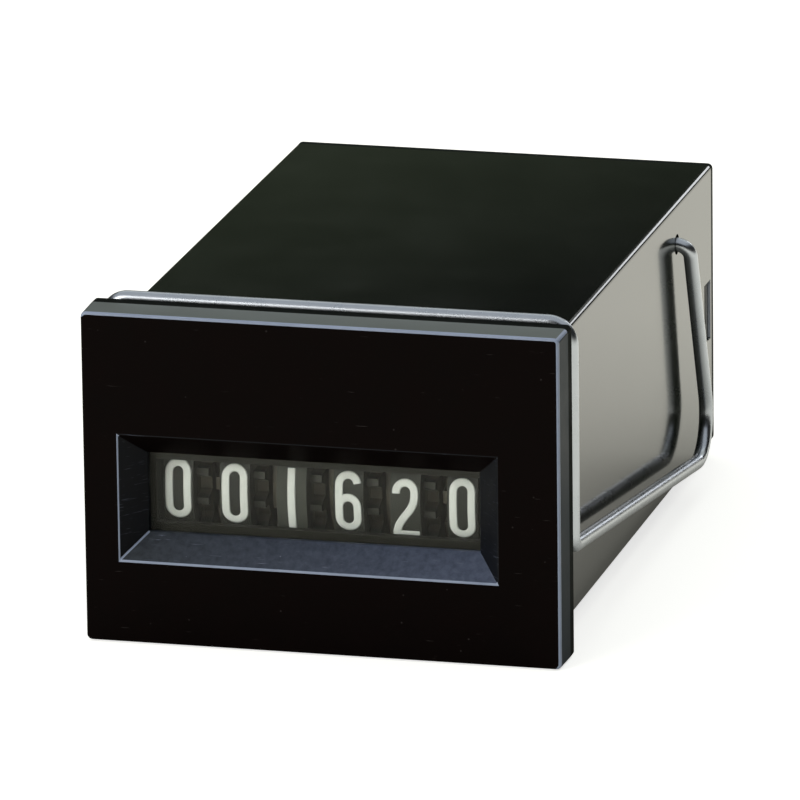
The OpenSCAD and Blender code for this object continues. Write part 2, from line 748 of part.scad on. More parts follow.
// Moulded lever staked to the armature: a plate, an arm through the wall and a fork
// whose two pallets stand over and under the star wheel
module pallet_fork() color([0.85, 0.8, 0.68]) {
    block([coil_x - stake_off - 2 * stake_r, lever_y, arm_low],
          [fork_x + fork_t, armature_y, stake_z + 2 * stake_r]);
    for (s = [-1, 1])
        slab_y(armature_y, armature_y + armature_t)
            translate([coil_x + s * stake_off, stake_z]) circle(stake_r);
    block([fork_x, axis_y + (fork_in + fork_out) / 2, arm_low],
          [fork_x + fork_t, lever_y + lever_t / 2, arm_low + fork_bar]);
    slab_x(fork_x, fork_x + fork_t) translate([axis_y, axis_z]) {
        intersection() {
            difference() {
                circle(fork_out);
                circle(fork_in);
            }
            polygon([
                [0, 0],
                for (k = [-2:2]) 2 * fork_out * [cos(k * fork_span / 2), sin(k * fork_span / 2)]
            ]);
        }
        for (nose = [[pallet_at, star_r + pallet_gap], [-pallet_at, star_r + pallet_lift]])
            rotate(nose[0]) polygon([
                [nose[1], -pallet_w / 4], [(fork_in + fork_out) / 2, -pallet_w],
                [(fork_in + fork_out) / 2, pallet_w], [nose[1], pallet_w / 4]
            ]);
    }
}

front_bezel();
window_pane();
panel_gasket();
housing();
wire_clip();
rear_cover();
terminal(-1);  // terminal_left
terminal(1);  // terminal_right
chassis();
wheel_shaft();
number_wheel(0);  // hundred_thousands_wheel
number_wheel(1);  // ten_thousands_wheel
number_wheel(2);  // thousands_wheel
number_wheel(3);  // hundreds_wheel
number_wheel(4);  // tens_wheel
number_wheel(5);  // units_wheel
pinion_shaft();
transfer_pinion(0);  // transfer_pinion_1
transfer_pinion(1);  // transfer_pinion_2
transfer_pinion(2);  // transfer_pinion_3
transfer_pinion(3);  // transfer_pinion_4
transfer_pinion(4);  // transfer_pinion_5
yoke();
core();
bobbin();
coil_winding();
yoke_screws();
coil_leads();
armature_pin();
return_spring();
armature();
pallet_fork();
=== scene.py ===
import math

import bpy
from mathutils import Matrix, Vector


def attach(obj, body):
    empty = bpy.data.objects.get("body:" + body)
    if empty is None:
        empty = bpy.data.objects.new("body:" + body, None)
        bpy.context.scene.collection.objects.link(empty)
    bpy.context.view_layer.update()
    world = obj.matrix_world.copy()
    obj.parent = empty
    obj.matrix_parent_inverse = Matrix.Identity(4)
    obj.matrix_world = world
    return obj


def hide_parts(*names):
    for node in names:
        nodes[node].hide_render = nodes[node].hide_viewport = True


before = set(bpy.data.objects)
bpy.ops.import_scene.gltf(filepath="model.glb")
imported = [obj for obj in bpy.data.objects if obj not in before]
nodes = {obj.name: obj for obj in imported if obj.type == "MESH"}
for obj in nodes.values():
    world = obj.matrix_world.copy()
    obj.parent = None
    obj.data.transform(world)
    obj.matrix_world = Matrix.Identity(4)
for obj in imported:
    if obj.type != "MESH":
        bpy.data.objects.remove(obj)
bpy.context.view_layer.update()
mm = 0.001


# Chassis. One dark moulding drops into the housing: two cheeks for the shafts, mask bars
# over and under the numerals, a cross wall and a bed for the magnet. Its skin is a fine
# moulded grain, a little uneven in tone and gloss, and mouldings outside get specks and scratches.
def shader_group(name, given, made):
    group = bpy.data.node_groups.new(name, "ShaderNodeTree")
    for label, kind, value in given:
        socket = group.interface.new_socket(name=label, in_out="INPUT", socket_type=kind)
        socket.default_value = value
    for label, kind in made:
        group.interface.new_socket(name=label, in_out="OUTPUT", socket_type=kind)
    return group, group.nodes.new("NodeGroupInput").outputs, group.nodes.new("NodeGroupOutput").inputs


def feed(tree, socket, value):
    if isinstance(value, bpy.types.NodeSocket):
        tree.links.new(value, socket)
    elif socket.type == "RGBA":
        socket.default_value = (*value[:3], 1)
    else:
        socket.default_value = value


def node(tree, kind, *values, operation=None, **named):
    made = tree.nodes.new(kind if isinstance(kind, str) else "ShaderNodeGroup")
    if made.type == "GROUP":
        made.node_tree = kind
    if operation:
        made.operation = operation
    for socket, value in zip(made.inputs, values):
        feed(tree, socket, value)
    for label, value in named.items():
        feed(tree, made.inputs[label.replace("_", " ")], value)
    return made


def mixed(tree, factor, first, second):
    made = tree.nodes.new("ShaderNodeMix")
    made.data_type = "RGBA"
    for label, value in (("Factor", factor), ("A", first), ("B", second)):
        feed(tree, made.inputs[label], value)
    return made.outputs["Result"]


def object_place(tree):
    return node(tree, "ShaderNodeTexCoord").outputs["Object"]


surface_outputs = [
    ("Color", "NodeSocketColor"),
    ("Roughness", "NodeSocketFloat"),
    ("Height", "NodeSocketFloat"),
]
moulding, given, made = shader_group(
    "moulded_skin",
    [
        ("Base", "NodeSocketColor", (0.1, 0.1, 0.1, 1)),
        ("Tint", "NodeSocketColor", (0.1, 0.1, 0.1, 1)),
        ("Patches", "NodeSocketFloat", 150.0),
        ("Grain", "NodeSocketFloat", 4000.0),
        ("Rough From", "NodeSocketFloat", 0.3),
        ("Rough To", "NodeSocketFloat", 0.5),
    ],
    surface_outputs,
)
place = object_place(moulding)
patches = node(
    moulding, "ShaderNodeTexNoise", Vector=place, Scale=given["Patches"], Detail=6.0, Roughness=0.6
).outputs["Fac"]
grain = node(
    moulding, "ShaderNodeTexNoise", Vector=place, Scale=given["Grain"], Detail=3.0, Roughness=0.5
).outputs["Fac"]
gloss = node(
    moulding, "ShaderNodeMapRange",
    Value=patches, From_Min=0.3, From_Max=0.7, To_Min=given["Rough From"], To_Max=given["Rough To"],
)
feed(moulding, made["Color"], mixed(moulding, patches, given["Base"], given["Tint"]))
feed(moulding, made["Roughness"], gloss.outputs["Result"])
feed(moulding, made["Height"], grain)

handling, given, made = shader_group(
    "handling_marks",
    [
        ("Specks", "NodeSocketFloat", 600.0),
        ("Sparse", "NodeSocketFloat", 0.6),
        ("Scratches", "NodeSocketFloat", 0.7),
    ],
    [("Mask", "NodeSocketFloat")],
)
place = object_place(handling)
dots = node(handling, "ShaderNodeTexVoronoi", Vector=place, Scale=given["Specks"], Randomness=1.0)
dot_size = node(
    handling, "ShaderNodeMapRange",
    Value=dots.outputs["Distance"], From_Min=0.03, From_Max=0.07, To_Min=1.0, To_Max=0.0,
)
dot_shade = node(handling, "ShaderNodeSeparateColor", Color=dots.outputs["Color"])
some = node(handling, "ShaderNodeMath", dot_shade.outputs["Red"], given["Sparse"], operation="GREATER_THAN")
specks = node(
    handling, "ShaderNodeMath", dot_size.outputs["Result"], some.outputs["Value"], operation="MULTIPLY"
)
slant = node(
    handling, "ShaderNodeMapping", Vector=place, Rotation=(0.4, 0.7, 0.3), Scale=(700, 700, 9000)
)
streaks = node(handling, "ShaderNodeTexNoise", Vector=slant.outputs["Vector"], Scale=1.0, Detail=2.0)
scratches = node(
    handling, "ShaderNodeMapRange", Value=streaks.outputs["Fac"], From_Min=given["Scratches"], From_Max=0.8
)
marks = node(
    handling, "ShaderNodeMath", specks.outputs["Value"], scratches.outputs["Result"], operation="MAXIMUM"
)
feed(handling, made["Mask"], marks.outputs["Value"])


def skinned(name, group, strength, depth, **values):
    material = bpy.data.materials.new(name)
    material.use_nodes = True
    tree = material.node_tree
    surface = tree.nodes["Principled BSDF"].inputs
    skin = node(tree, group, **values)
    bump = node(tree, "ShaderNodeBump", Strength=strength, Distance=depth * mm, Height=skin.outputs["Height"])
    feed(tree, surface["Base Color"], skin.outputs["Color"])
    feed(tree, surface["Roughness"], skin.outputs["Roughness"])
    feed(tree, surface["Normal"], bump.outputs["Normal"])
    return material, tree, surface, skin


def moulded(name, base, tint, rough, grain=4000.0, depth=0.004, specular=0.5, patches=150.0, marks=None):
    material, tree, surface, skin = skinned(
        name, moulding, 0.5, depth,
        Base=base, Tint=tint, Patches=patches, Grain=grain, Rough_From=rough[0], Rough_To=rough[1],
    )
    surface["Specular IOR Level"].default_value = specular
    if marks:
        pale, specks, sparse, scratches = marks
        worn = node(tree, handling, Specks=specks, Sparse=sparse, Scratches=scratches)
        marked = mixed(tree, worn.outputs["Mask"], skin.outputs["Color"], pale)
        feed(tree, surface["Base Color"], marked)
    return material


def dress(name, material):
    nodes[name].data.materials.clear()
    nodes[name].data.materials.append(material)


dress(
    "chassis",
    moulded("chassis_plastic", (0.014, 0.013, 0.010), (0.024, 0.023, 0.018), (0.5, 0.65), specular=0.1),
)


# Shafts, pin and screws. Ground steel rod, pressed into the cheeks and the yoke's ears.
# Turning and grinding leave fine rings round each rod.
turned, given, made = shader_group(
    "turned_metal",
    [
        ("Base", "NodeSocketColor", (0.5, 0.5, 0.5, 1)),
        ("Tint", "NodeSocketColor", (0.5, 0.5, 0.5, 1)),
        ("Lines", "NodeSocketVector", (9000.0, 600.0, 600.0)),
        ("Rough From", "NodeSocketFloat", 0.2),
        ("Rough To", "NodeSocketFloat", 0.4),
    ],
    surface_outputs,
)
stretch = node(turned, "ShaderNodeVectorMath", object_place(turned), given["Lines"], operation="MULTIPLY")
lines = node(
    turned, "ShaderNodeTexNoise", Vector=stretch.outputs["Vector"], Scale=1.0, Detail=4.0, Roughness=0.6
).outputs["Fac"]
gloss = node(
    turned, "ShaderNodeMapRange",
    Value=lines, From_Min=0.3, From_Max=0.7, To_Min=given["Rough From"], To_Max=given["Rough To"],
)
feed(turned, made["Color"], mixed(turned, lines, given["Base"], given["Tint"]))
feed(turned, made["Roughness"], gloss.outputs["Result"])
feed(turned, made["Height"], lines)


def worked_metal(name, base, tint, rough, lines, depth=0.002):
    material, tree, surface, skin = skinned(
        name, turned, 0.4, depth, Base=base, Tint=tint, Lines=lines, Rough_From=rough[0], Rough_To=rough[1]
    )
    surface["Metallic"].default_value = 1.0
    return material


ground_steel = worked_metal("ground_steel", (0.42, 0.42, 0.42), (0.6, 0.6, 0.59), (0.2, 0.36), (9000, 500, 500))
for name in ("wheel_shaft", "pinion_shaft", "armature_pin", "yoke_screws"):
    dress(name, ground_steel)


# Number wheels. Dark olive mouldings that run loose on the wheel shaft, each with a toothed
# ring on its right and a carry ring on its left. The rim is painted in a band round the figures.
# Each wheel's band is given its own brightness, painted light for the light that falls
# differently on each drum. The rings are painted paler deep down and darker at their tips,
# painted light that lifts the shade between the teeth.
def second_tone(material, mask, base, tint):
    tree = material.node_tree
    skin = next(n for n in tree.nodes if n.type == "GROUP" and n.node_tree == moulding)
    for label, colour in (("Base", base), ("Tint", tint)):
        socket = skin.inputs[label]
        first = socket.links[0].from_socket if socket.is_linked else tuple(socket.default_value)
        feed(tree, socket, mixed(tree, mask, first, colour))


wheel_names = [
    "hundred_thousands_wheel",
    "ten_thousands_wheel",
    "thousands_wheel",
    "hundreds_wheel",
    "tens_wheel",
    "units_wheel",
]
wheel_places = [-11.925, -7.575, -3.225, 1.125, 5.475, 9.825]
wheel_axis = Vector((0, 8.3, -1.7))
# Brightness of each wheel's band round its figures: painted light for light that falls differently on each
# drum.
wheel_painted_light = [0.85, 0.8, 2.1, 1.1, 1.45, 0.95]
ring_reach, tip_reach = 6.4, 6.9
painted_half = 1.12
for name, x, tone in zip(wheel_names, wheel_places, wheel_painted_light):
    # Paler brown deep in the rings: painted light lifting the shade between the teeth.
    material = moulded(
        name + "_plastic", (0.09, 0.08, 0.06), (0.12, 0.1, 0.075), (0.45, 0.6), specular=0.25, patches=400.0
    )
    tree = material.node_tree
    middle = (Vector((x, 0, 0)) + wheel_axis) * mm
    place = object_place(tree)
    spot = node(tree, "ShaderNodeVectorMath", place, middle, operation="SUBTRACT").outputs["Vector"]
    flat = node(tree, "ShaderNodeVectorMath", spot, (0, 1, 1), operation="MULTIPLY").outputs["Vector"]
    reach = node(tree, "ShaderNodeVectorMath", flat, operation="LENGTH").outputs["Value"]
    # Darker towards the ring tips: painted light, the counterpart of the paler deep parts.
    painted_light_by_reach = node(tree, "ShaderNodeMapRange", Value=reach, From_Min=ring_reach * mm, From_Max=tip_reach * mm)
    across = node(tree, "ShaderNodeSeparateXYZ", spot).outputs["X"]
    away = node(tree, "ShaderNodeMath", across, operation="ABSOLUTE").outputs["Value"]
    band = node(tree, "ShaderNodeMath", away, painted_half * mm, operation="LESS_THAN").outputs["Value"]
    second_tone(material, painted_light_by_reach.outputs["Result"], (0.042, 0.041, 0.034), (0.056, 0.055, 0.046))
    # The band round the figures, scaled wheel by wheel by its painted light.
    second_tone(
        material, band,
        [tone * c for c in (0.020, 0.0205, 0.017)],
        [tone * c for c in (0.026, 0.027, 0.0225)],
    )
    dress(name, material)


# Numerals. Ten white figures are printed round each rim: narrow figures with round ends
# and an even stroke. The thousandths of a millimetre of ink stand proud of the rim.
figure_stroke = 0.62
figure_stretch = 1.07
figure_step = 36
rim_radius = 8.2
ink_relief = 0.06
shown = [0, 0, 1, 6, 2, 0]
slips = [-0.2, 0.9, 1.7, 1.1, 3.4, 1.25]


def only(piece):
    bpy.ops.object.select_all(action="DESELECT")
    piece.select_set(True)
    bpy.context.view_layer.objects.active = piece


def drawn(name, routes, width, resolution):
    curve = bpy.data.curves.new(name, "CURVE")
    curve.dimensions = "3D"
    curve.bevel_depth = width / 2 * mm
    curve.bevel_resolution = resolution
    curve.use_fill_caps = True
    for route, closed in routes:
        line = curve.splines.new("POLY")
        line.points.add(len(route) - 1)
        line.use_cyclic_u = closed
        for point, spot in zip(line.points, route):
            point.co = (*[c * mm for c in spot], 1)
    piece = bpy.data.objects.new(name, curve)
    bpy.context.collection.objects.link(piece)
    only(piece)
    bpy.ops.object.convert(target="MESH")
    return bpy.context.object


def arc(x, z, rx, rz, start, end, steps=14):
    turns = [math.radians(start + (end - start) * k / steps) for k in range(steps + 1)]
    return [(x + rx * math.cos(a), z + rz * math.sin(a)) for a in turns]


def evenly(points, step=0.15):
    out = [points[0]]
    for (ax, az), (bx, bz) in zip(points, points[1:]):
        count = max(1, math.ceil(math.dist((ax, az), (bx, bz)) / step))
        out += [(ax + (bx - ax) * k / count, az + (bz - az) * k / count) for k in range(1, count + 1)]
    return out


six = arc(0, 1.21, 0.7, 0.7, 8, 180) + arc(0, -1.21, 0.7, 0.7, 180, 360) + arc(0, -0.42, 0.7, 0.72, 0, 172)
figures = [
    [arc(0, 1.21, 0.7, 0.7, 0, 180) + arc(0, -1.21, 0.7, 0.7, 180, 360) + [(0.7, 1.21)]],
    [[(0, 2.22), (0, -2.22)]],
    [
        arc(0, 1.21, 0.7, 0.7, 188, 0)
        + [(0.7, 0.85), (0.62, 0.45), (0.4, 0.02), (-0.2, -0.72), (-0.52, -1.2), (-0.66, -1.6), (-0.7, -2.22)],
        [(-1.0, -1.92), (1.0, -1.92)],
    ],
    [arc(0, 1.18, 0.68, 0.73, 165, -80) + [(-0.2, 0.42)], [(-0.2, 0.42)] + arc(0, -0.82, 0.7, 1.1, 80, -165)],
    [[(0.4, 2.22), (0.4, -2.22)], [(0.4, 2.0), (-0.72, -0.75)], [(-0.98, -0.85), (1.0, -0.85)]],
    [[(0.9, 1.92), (-0.86, 1.92)], [(-0.6, 2.1), (-0.68, 0.2)], arc(0, -0.72, 0.7, 1.2, 140, -165)],
    [six],
    [[(-0.9, 1.92), (1.0, 1.92)], [(0.72, 2.0), (0.2, 0.4), (-0.1, -1.0), (-0.22, -2.22)]],
    [arc(0, 1.1, 0.6, 0.8, -90, 270), arc(0, -0.84, 0.7, 1.07, -270, 90)],
    [[(-x, -z) for x, z in six]],
]

white_ink = moulded("white_ink", (0.69, 0.7, 0.68), (0.79, 0.8, 0.78), (0.45, 0.6), 3000.0, 0.002, 0.3, 900.0)
figure_meshes = []
for strokes in figures:
    routes = []
    for points in strokes:
        closed = math.dist(points[0], points[-1]) < 1e-6
        points = evenly(points)[:-1] if closed else evenly(points)
        routes.append(([(x, 0, figure_stretch * z) for x, z in points], closed))
    flat = drawn("figure", routes, figure_stroke, 2)
    for vertex in flat.data.vertices:
        turn = vertex.co.z / (rim_radius * mm)
        out = rim_radius * mm - ink_relief * vertex.co.y
        vertex.co = (vertex.co.x, -out * math.cos(turn), out * math.sin(turn))
    figure_meshes.append(flat.data.copy())
    bpy.data.objects.remove(flat)

for name, x, front, slip in zip(wheel_names, wheel_places, shown, slips):
    bpy.ops.object.select_all(action="DESELECT")
    for digit, mesh in enumerate(figure_meshes):
        figure = bpy.data.objects.new(name.replace("wheel", "numerals"), mesh.copy())
        bpy.context.collection.objects.link(figure)
        turn = Matrix.Rotation(math.radians(figure_step * (front - digit) + slip), 4, "X")
        figure.data.transform(Matrix.Translation((Vector((x, 0, 0)) + wheel_axis) * mm) @ turn)
        figure.select_set(True)
        bpy.context.view_layer.objects.active = figure
    bpy.ops.object.join()
    numerals = bpy.context.object
    numerals.name = name.replace("wheel", "numerals")
    numerals.data.materials.append(white_ink)
    bpy.ops.object.shade_smooth()
    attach(numerals, name)


# Transfer pinions. Small pale mouldings on the pinion shaft, one between each two wheels,
# that carry a full turn of one wheel on to the next.
pinion_plastic = moulded("pinion_plastic", (0.55, 0.53, 0.45), (0.64, 0.62, 0.54), (0.35, 0.5))
for k in range(1, 6):
    dress("transfer_pinion_%d" % k, pinion_plastic)


# Electromagnet. A plated iron yoke and core, a moulded bobbin and a winding of enamelled
# wire, screwed to the chassis bed, with two insulated leads to the terminals.
plated_iron = worked_metal("plated_iron", (0.36, 0.37, 0.38), (0.48, 0.48, 0.47), (0.3, 0.48), (700, 4000, 700))
for name in ("yoke", "core", "armature"):
    dress(name, plated_iron)
dress(
    "coil_winding",
    worked_metal("copper_winding", (0.42, 0.16, 0.05), (0.62, 0.28, 0.1), (0.25, 0.4), (300, 9000, 300), 0.02),
)
bobbin_plastic = moulded("bobbin_plastic", (0.66, 0.6, 0.44), (0.72, 0.66, 0.5), (0.35, 0.5))
dress("bobbin", bobbin_plastic)
dress("coil_leads", moulded("lead_insulation", (0.42, 0.02, 0.015), (0.5, 0.03, 0.02), (0.25, 0.35), 2500.0))


# Pallet fork and return spring. The pale moulded fork is staked to the armature and steps
# the units wheel; a bright leaf behind the armature pushes it back.
dress("pallet_fork", bobbin_plastic)
dress(
    "return_spring",
    worked_metal("leaf_steel", (0.5, 0.5, 0.48), (0.66, 0.66, 0.64), (0.18, 0.3), (500, 500, 6000)),
)


# Housing. A glossy black moulding, open at both ends, with hook holes for the clip and snap
# windows for the rear cover in its sides. The polish is a little wavy, the colour grows lighter
# and greener towards the back and left, the rear rim is dull, and the rear walls of the
# snap windows are painted pale and bluish as a painted highlight.
def block(name, low, high):
    bpy.ops.object.select_all(action="DESELECT")
    middle = [(a + b) / 2 * mm for a, b in zip(low, high)]
    bpy.ops.mesh.primitive_cube_add(size=1, location=middle, scale=[(b - a) * mm for a, b in zip(low, high)])
    bpy.ops.object.transform_apply(location=True, rotation=True, scale=True)
    bpy.context.object.name = name
    return bpy.context.object


def combine(piece, tool, operation="DIFFERENCE"):
    joined = piece.modifiers.new("combine", "BOOLEAN")
    joined.operation = operation
    joined.object = tool
    joined.solver = "EXACT"
    only(piece)
    bpy.ops.object.modifier_apply(modifier=joined.name)
    bpy.data.objects.remove(tool)


def pick(piece, kind, test):
    bpy.context.view_layer.objects.active = piece
    bpy.ops.object.mode_set(mode="EDIT")
    bpy.ops.mesh.select_mode(type=kind)
    bpy.ops.mesh.select_all(action="DESELECT")
    bpy.ops.object.mode_set(mode="OBJECT")
    mesh = piece.data
    if kind == "FACE":
        for face in mesh.polygons:
            face.select = test(face.center / mm, face.normal)
    else:
        for edge in mesh.edges:
            edge.select = test(*[mesh.vertices[v].co / mm for v in edge.vertices])
    bpy.ops.object.mode_set(mode="EDIT")


def round_edges(piece, radius, segments, test):
    pick(piece, "EDGE", test)
    bpy.ops.mesh.bevel(offset=radius * mm, segments=segments, profile=0.5, affect="EDGES")
    bpy.ops.object.mode_set(mode="OBJECT")


def smooth(piece, angle=50):
    only(piece)
    bpy.ops.object.shade_smooth_by_angle(angle=math.radians(angle))
    even = piece.modifiers.new("even", "WEIGHTED_NORMAL")
    even.keep_sharp = True
    even.weight = 100
    bpy.ops.object.modifier_apply(modifier=even.name)


housing_half = 16.7
housing_front, housing_rear = -1.1, 53.5
housing_bottom, housing_top = -11.4, 11.0
housing_wall = 1.2
through = 40
hook_y, hook_z, hook_bore = 40.8, 7.8, 1.6
snap_front, snap_rear, snap_bottom, snap_top = 50.3, 52.3, -2.8, 1.8
rim_start = 52.65
housing = block(
    "housing_shell",
    (-housing_half, housing_front, housing_bottom),
    (housing_half, housing_rear, housing_top),
)
round_edges(housing, 0.4, 5, lambda a, b: abs(a.y - b.y) > 50)
inner_half = housing_half - housing_wall
combine(
    housing,
    block(
        "hollow",
        (-inner_half, housing_front - 0.9, housing_bottom + housing_wall),
        (inner_half, housing_rear + 1.5, housing_top - housing_wall),
    ),
)
bpy.ops.mesh.primitive_cylinder_add(
    vertices=32,
    radius=hook_bore / 2 * mm,
    depth=2 * through * mm,
    location=(0, hook_y * mm, hook_z * mm),
    rotation=(0, math.pi / 2, 0),
)
combine(housing, bpy.context.object)
combine(housing, block("snap_cut", (-through, snap_front, snap_bottom), (through, snap_rear, snap_top)))


def at_snap(p):
    return abs(p.x) > housing_half - 0.1 and snap_front - 0.01 < p.y < snap_rear + 0.01


def at_rear_outline(p):
    middle = (housing_top + housing_bottom) / 2
    half = (housing_top - housing_bottom) / 2
    return p.y > housing_rear - 0.1 and (abs(p.x) > housing_half - 0.5 or abs(p.z - middle) > half - 0.5)


round_edges(housing, 0.1, 2, lambda a, b: at_snap(a) and at_snap(b))
round_edges(housing, 0.25, 3, lambda a, b: at_rear_outline(a) and at_rear_outline(b))
pick(housing, "FACE", lambda c, n: True)
bpy.ops.mesh.bisect(plane_co=(0, rim_start * mm, 0), plane_no=(0, 1, 0))
bpy.ops.object.mode_set(mode="OBJECT")
smooth(housing)
gloss_black = moulded(
    "housing_plastic", (0.004, 0.0055, 0.0035), (0.008, 0.0105, 0.0075), (0.07, 0.12), 900.0, 0.003, 0.55, 120.0
)
tree = gloss_black.node_tree
# Colour grows lighter and greener towards the back and left.
back_left = node(tree, "ShaderNodeVectorMath", object_place(tree), (-20, 14, 0), operation="DOT_PRODUCT")
back_left_ramp = node(tree, "ShaderNodeMapRange", Value=back_left.outputs["Value"], From_Min=-0.1, From_Max=0.9)
second_tone(gloss_black, back_left_ramp.outputs["Result"], (0.025, 0.032, 0.019), (0.042, 0.053, 0.033))
rim_black = moulded(
    "rim_plastic", (0.003, 0.005, 0.003), (0.006, 0.009, 0.006), (0.5, 0.6), 2500.0, 0.006, 0.03
)
# Pale bluish rear walls of the snap windows: a painted highlight.
snap_highlight = moulded("snap_highlight_plastic", (0.62, 0.67, 0.75), (0.78, 0.82, 0.9), (0.3, 0.45), 2500.0)
for material in (gloss_black, rim_black, snap_highlight):
    housing.data.materials.append(material)
rim_slot, snap_highlight_slot = 1, 2
for face in housing.data.polygons:
    c, n = face.center / mm, face.normal
    if c.y > rim_start and n.y < 0.99:
        face.material_index = rim_slot
    elif c.y > snap_rear - 0.15 and n.y < -0.2 and snap_bottom - 0.05 < c.z < snap_top + 0.05:
        face.material_index = snap_highlight_slot
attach(housing, "case")
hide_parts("housing")


# Rear cover and terminals. A flat black cover snaps into the back of the housing by two lugs,
# and carries two tinned flat blades for push-on connectors.
dress(
    "rear_cover",
    moulded("cover_plastic", (0.006, 0.0065, 0.006), (0.010, 0.011, 0.010), (0.25, 0.4), 1500.0, specular=0.12),
)
tinned = worked_metal("tinned_brass", (0.55, 0.53, 0.46), (0.68, 0.66, 0.6), (0.22, 0.38), (500, 3000, 500))
for name in ("terminal_left", "terminal_right"):
    dress(name, tinned)


# Panel gasket. A flat black rubber frame between the bezel's back and the panel, dull and
# a little mottled.
dress(
    "panel_gasket",
    moulded(
        "gasket_rubber", (0.0015, 0.0025, 0.0015), (0.003, 0.005, 0.003), (0.6, 0.8), 2500.0, 0.01, 0.04
    ),
)


# Front bezel. A satin black moulding with a sloping recess round the window, held in the
# housing by two tongues. Handling has left fine marks and specks. Its edges are painted pale
# and bluish as painted highlights, and its top, flanks and recess slopes are lighter or bluer
# copies of the same black, painted light for how each face catches the light.
bezel_w, bezel_h = 36.4, 25.4
face_w, face_h = 36.3, 25.3
face_y, bezel_back = -3.8, -1.1
window_x, window_z = -1.05, -1.5
sight_w, sight_h = 25.3, 6.1
slope_w, slope_h, slope_floor = 30.7, 11.5, -1.8
pocket_ledge, pocket_front = 1.0, -1.5
tongue_in, tongue_out, tongue_end = 14.65, 15.45, 4.7
tongue_bottom, tongue_top = -5.2, 4.8
clear = 1.0


def window_block(name, ledge, front, back):
    half_w, half_h = sight_w / 2 + ledge, sight_h / 2 + ledge
    return block(
        name,
        (window_x - half_w, front, window_z - half_h),
        (window_x + half_w, back, window_z + half_h),
    )


def resize_front(piece, wide, high, middle):
    pick(piece, "FACE", lambda c, n: n.y < -0.9)
    bpy.ops.transform.resize(value=(wide, 1, high), center_override=[c * mm for c in middle])
    bpy.ops.object.mode_set(mode="OBJECT")


bezel = block(
    "bezel_front", (-bezel_w / 2, face_y, -bezel_h / 2), (bezel_w / 2, bezel_back, bezel_h / 2)
)
resize_front(bezel, face_w / bezel_w, face_h / bezel_h, (0, face_y, 0))
round_edges(bezel, 0.4, 4, lambda a, b: abs(a.y - b.y) > 2)
round_edges(bezel, 0.2, 4, lambda a, b: max(a.y, b.y) < face_y + 0.1)
recess = window_block("recess_cut", 0, face_y - clear, slope_floor)
resize_front(recess, slope_w / sight_w, slope_h / sight_h, (window_x, face_y - clear, window_z))
combine(bezel, recess)
combine(bezel, window_block("sight", 0, -3, clear))
combine(bezel, window_block("pocket", pocket_ledge, pocket_front, clear))
for side in (-1, 1):
    low, high = sorted((side * tongue_in, side * tongue_out))
    tongue = block("tongue", (low, pocket_front, tongue_bottom), (high, tongue_end, tongue_top))
    combine(bezel, tongue, "UNION")


def in_recess(p):
    return abs(p.x - window_x) < 14.5 and abs(p.z - window_z) < 4.9


round_edges(
    bezel,
    0.09,
    2,
    lambda a, b: in_recess(a)
    and in_recess(b)
    and max(a.y, b.y) < slope_floor + 0.05
    and not (a - b).length < 0.05,
)
smooth(bezel)
bezel_face = moulded(
    "bezel_face", (0.0017, 0.0010, 0.0009), (0.0044, 0.0018, 0.0016), (0.38, 0.5), 3500.0, 0.004, 0.03, 250.0,
    ((0.034, 0.029, 0.028), 800.0, 0.4, 0.74),
)
# The top, lighter grey-green than the face: painted light.
bezel_top_painted_light = moulded(
    "bezel_top_painted_light", (0.040, 0.052, 0.046), (0.105, 0.128, 0.118), (0.32, 0.42), 2500.0, 0.004, 0.8, 300.0
)
# The flanks, bluer and lighter than the face: painted light.
bezel_flank_painted_light = moulded(
    "bezel_flank_painted_light", (0.008, 0.015, 0.022), (0.016, 0.028, 0.038), (0.3, 0.4), 2500.0, 0.004, 0.025, 300.0
)
# The recess's lower slope, lighter and bluer than the face: painted light from above.
recess_low_painted_light = moulded(
    "recess_low_painted_light", (0.004, 0.006, 0.008), (0.060, 0.070, 0.083), (0.3, 0.45), 2500.0, 0.008, 0.3, 2000.0,
    ((0.16, 0.18, 0.24), 900.0, 0.45, 0.68),
)
tree = recess_low_painted_light.node_tree
# Lighter and bluer from left to right: painted light from the lamp at the front left.
across = node(tree, "ShaderNodeSeparateXYZ", object_place(tree)).outputs["X"]
along = node(tree, "ShaderNodeMapRange", Value=across, From_Min=-15 * mm, From_Max=13 * mm)
second_tone(recess_low_painted_light, along.outputs["Result"], (0.018, 0.026, 0.052), (0.142, 0.170, 0.255))
# The recess's left and right slopes, a bluer copy of the face: painted light.
recess_side_painted_light = moulded(
    "recess_side_painted_light", (0.003, 0.0035, 0.005), (0.008, 0.009, 0.013), (0.4, 0.5), 2500.0, 0.006, 0.12, 700.0,
    ((0.08, 0.09, 0.12), 1100.0, 0.5, 0.64),
)
# Pale bluish colour for the rounded edges picked out below: painted highlights.
bezel_edge_highlight = moulded(
    "bezel_edge_highlight", (0.23, 0.28, 0.40), (0.42, 0.48, 0.62), (0.3, 0.45), 2500.0, 0.004, 0.5, 500.0
)
for material in (bezel_face, bezel_top_painted_light, bezel_flank_painted_light, recess_low_painted_light, recess_side_painted_light, bezel_edge_highlight):
    bezel.data.materials.append(material)
face_slot, top_slot, flank_slot, low_slot, side_slot, edge_slot = range(6)
face_limit = face_y + 0.001
